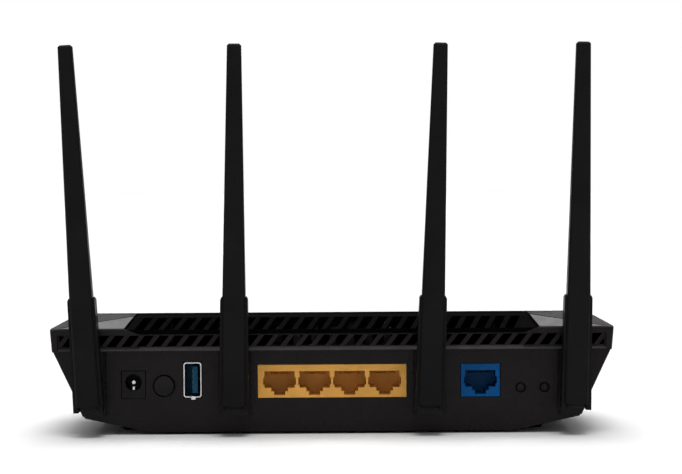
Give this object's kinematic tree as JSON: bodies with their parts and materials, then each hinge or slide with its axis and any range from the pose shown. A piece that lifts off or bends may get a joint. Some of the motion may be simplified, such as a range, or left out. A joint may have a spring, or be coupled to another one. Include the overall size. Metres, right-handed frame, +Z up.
{
  "type": "wireless router",
  "caption": "Free-standing wireless router with folding, swivelling blade antennas, network, USB and power sockets and push buttons at the rear.",
  "frame": {"origin": "on the table, under the middle of the router's bounding box with its antennas up", "axes": "-Y out of the port panel, +X to the right of someone facing the ports, +Z up"},
  "size_m": [0.224, 0.154, 0.155],
  "materials": {
    "case_plastic": "fine matt moulding",
    "grille_plastic": "satin black",
    "antenna_plastic": "fine matt moulding",
    "button_plastic": "matt",
    "lan_plastic": "smooth amber yellow",
    "wan_plastic": "smooth blue",
    "component_black": "moulded black",
    "usb_blue": "blue",
    "steel": "bright plated steel",
    "contact_gold": "gold flash",
    "board_green": "green solder mask",
    "heatsink_aluminium": "extruded",
    "capacitor_can": "drawn can",
    "pad_grey": "soft pad",
    "foot_rubber": "matt",
    "light_guide": "clear moulding",
    "led_body": "resin",
    "lead_jacket": "smooth jacket"
  },
  "bodies": {
    "case": {"antenna_connectors": "contact_gold", "board_screws": "steel", "bottom_housing": "case_plastic", "capacitors": "capacitor_can", "case_screws": "steel", "chips": "component_black", "coax_leads": "lead_jacket", "dc_jack_body": "component_black", "dc_jack_contacts": "steel", "heatsink": "heatsink_aluminium", "lan_jack_block": "lan_plastic", "lan_jack_contacts": "contact_gold", "led_light_pipe": "light_guide", "main_board": "board_green", "network_transformers": "component_black", "power_inductors": "component_black", "power_switch_body": "component_black", "rear_grille": "grille_plastic", "rf_shields": "steel", "rubber_feet": "foot_rubber", "status_leds": "led_body", "tact_switches": "component_black", "thermal_pads": "pad_grey", "top_cover": "case_plastic", "usb_contacts": "contact_gold", "usb_shell": "steel", "usb_tongue": "usb_blue", "wan_jack": "wan_plastic", "wan_jack_contacts": "contact_gold"},
    "antenna_1_mount": {"antenna_1_swivel": "antenna_plastic", "antenna_1_clip": "steel"},
    "antenna_1": {"antenna_1_outer_shell": "antenna_plastic", "antenna_1_inner_shell": "antenna_plastic", "antenna_1_pin": "steel", "antenna_1_radiator": "board_green"},
    "antenna_2_mount": {"antenna_2_swivel": "antenna_plastic", "antenna_2_clip": "steel"},
    "antenna_2": {"antenna_2_outer_shell": "antenna_plastic", "antenna_2_inner_shell": "antenna_plastic", "antenna_2_pin": "steel", "antenna_2_radiator": "board_green"},
    "antenna_3_mount": {"antenna_3_swivel": "antenna_plastic", "antenna_3_clip": "steel"},
    "antenna_3": {"antenna_3_outer_shell": "antenna_plastic", "antenna_3_inner_shell": "antenna_plastic", "antenna_3_pin": "steel", "antenna_3_radiator": "board_green"},
    "antenna_4_mount": {"antenna_4_swivel": "antenna_plastic", "antenna_4_clip": "steel"},
    "antenna_4": {"antenna_4_outer_shell": "antenna_plastic", "antenna_4_inner_shell": "antenna_plastic", "antenna_4_pin": "steel", "antenna_4_radiator": "board_green"},
    "power_button": {"power_button": "button_plastic"},
    "wps_button": {"wps_button": "button_plastic"},
    "reset_button": {"reset_button": "button_plastic"}
  },
  "joints": [
    {"name": "antenna_1_swivel", "type": "hinge", "parent": "case", "child": "antenna_1_mount", "pos_m": [-0.0963, -0.0719, 0.0142], "axis": [0, 1, 0], "range_deg": [-86.7, 21.2]},
    {"name": "antenna_1_fold", "type": "hinge", "parent": "antenna_1_mount", "child": "antenna_1", "pos_m": [-0.0963, -0.0719, 0.0142], "axis": [0.9984, 0, 0.0569], "range_deg": [0, 90]},
    {"name": "antenna_2_swivel", "type": "hinge", "parent": "case", "child": "antenna_2_mount", "pos_m": [-0.0387, -0.0719, 0.0142], "axis": [0, 1, 0], "range_deg": [-21.4, 27.6]},
    {"name": "antenna_2_fold", "type": "hinge", "parent": "antenna_2_mount", "child": "antenna_2", "pos_m": [-0.0387, -0.0719, 0.0142], "axis": [1, 0, -0.007], "range_deg": [0, 90]},
    {"name": "antenna_3_swivel", "type": "hinge", "parent": "case", "child": "antenna_3_mount", "pos_m": [0.0387, -0.0719, 0.0142], "axis": [0, 1, 0], "range_deg": [-29, 17]},
    {"name": "antenna_3_fold", "type": "hinge", "parent": "antenna_3_mount", "child": "antenna_3", "pos_m": [0.0387, -0.0719, 0.0142], "axis": [0.9994, 0, -0.0349], "range_deg": [0, 90]},
    {"name": "antenna_4_swivel", "type": "hinge", "parent": "case", "child": "antenna_4_mount", "pos_m": [0.0963, -0.0719, 0.0142], "axis": [0, 1, 0], "range_deg": [-16.9, 88.5]},
    {"name": "antenna_4_fold", "type": "hinge", "parent": "antenna_4_mount", "child": "antenna_4", "pos_m": [0.0963, -0.0719, 0.0142], "axis": [0.9997, 0, -0.0251], "range_deg": [0, 90]},
    {"name": "power_button_press", "type": "slide", "parent": "case", "child": "power_button", "axis": [0, 1, 0], "range_m": [0, 0.0015], "stiffness_N_per_m": 800},
    {"name": "wps_button_press", "type": "slide", "parent": "case", "child": "wps_button", "axis": [0, 1, 0], "range_m": [0, 0.0006], "stiffness_N_per_m": 1500},
    {"name": "reset_button_press", "type": "slide", "parent": "case", "child": "reset_button", "axis": [0, 1, 0], "range_m": [0, 0.0006], "stiffness_N_per_m": 1500}
  ]
}
